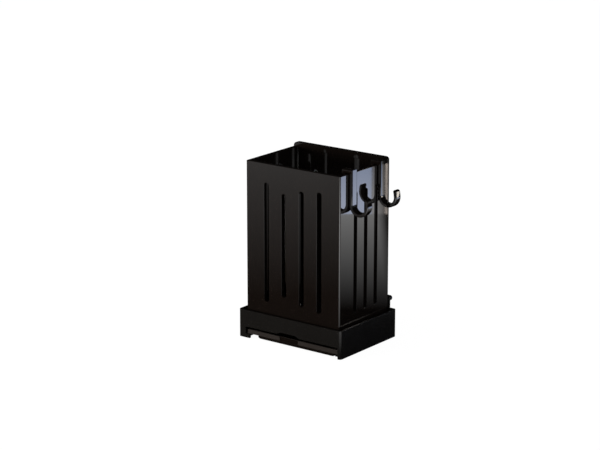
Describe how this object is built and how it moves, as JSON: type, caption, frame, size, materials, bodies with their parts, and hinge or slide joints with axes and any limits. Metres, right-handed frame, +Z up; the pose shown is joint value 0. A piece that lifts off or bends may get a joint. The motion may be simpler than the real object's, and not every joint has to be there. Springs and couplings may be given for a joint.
{
  "type": "wall utensil rack",
  "caption": "Slotted plastic utensil basket on a base with a pull-out drip tray, hooks on one rim and a slide-on wall plate.",
  "frame": {"origin": "centre of the wall plate's back, on the wall", "axes": "+Z up, +Y towards the wall, so the front faces -Y, and +X to the right seen from the front"},
  "size_m": [0.1597, 0.11, 0.207],
  "materials": {
    "basket_black": "moulded, polished",
    "base_black": "moulded, polished",
    "tray_black": "moulded, satin",
    "floor_black": "moulded, matt",
    "hook_black": "moulded, polished",
    "catch_black": "moulded, satin",
    "mount_black": "moulded, fine grain",
    "screw_steel": "zinc plated"
  },
  "bodies": {
    "wall_plate": {"wall_plate": "mount_black"},
    "rack": {"basket": "basket_black", "base": "base_black", "drain_floor": "floor_black", "rear_bracket": "mount_black", "bracket_screws": "screw_steel"},
    "drip_tray": {"drip_tray": "tray_black"},
    "hook_front": {"hook_front": "hook_black"},
    "hook_rear": {"hook_rear": "hook_black"},
    "catch_left": {"catch_left": "catch_black"},
    "catch_right": {"catch_right": "catch_black"}
  },
  "joints": [
    {"name": "rack_lift", "type": "slide", "parent": "wall_plate", "child": "rack", "axis": [0, 0, 1], "range_m": [0, 0.043]},
    {"name": "tray_pull", "type": "slide", "parent": "rack", "child": "drip_tray", "axis": [0, -1, 0], "range_m": [0, 0.1045]},
    {"name": "hook_front_slide", "type": "slide", "parent": "rack", "child": "hook_front", "axis": [0, 1, 0], "range_m": [-0.009, 0.02]},
    {"name": "hook_rear_slide", "type": "slide", "parent": "rack", "child": "hook_rear", "axis": [0, 1, 0], "range_m": [-0.02, 0.007]},
    {"name": "catch_left_flex", "type": "hinge", "parent": "rack", "child": "catch_left", "pos_m": [-0.0595, -0.0101, -0.1398], "axis": [-1, 0, 0], "range_deg": [0, 6], "stiffness_Nm_per_rad": 2.2},
    {"name": "catch_right_flex", "type": "hinge", "parent": "rack", "child": "catch_right", "pos_m": [0.0595, -0.0101, -0.1398], "axis": [-1, 0, 0], "range_deg": [0, 6], "stiffness_Nm_per_rad": 2.2}
  ]
}
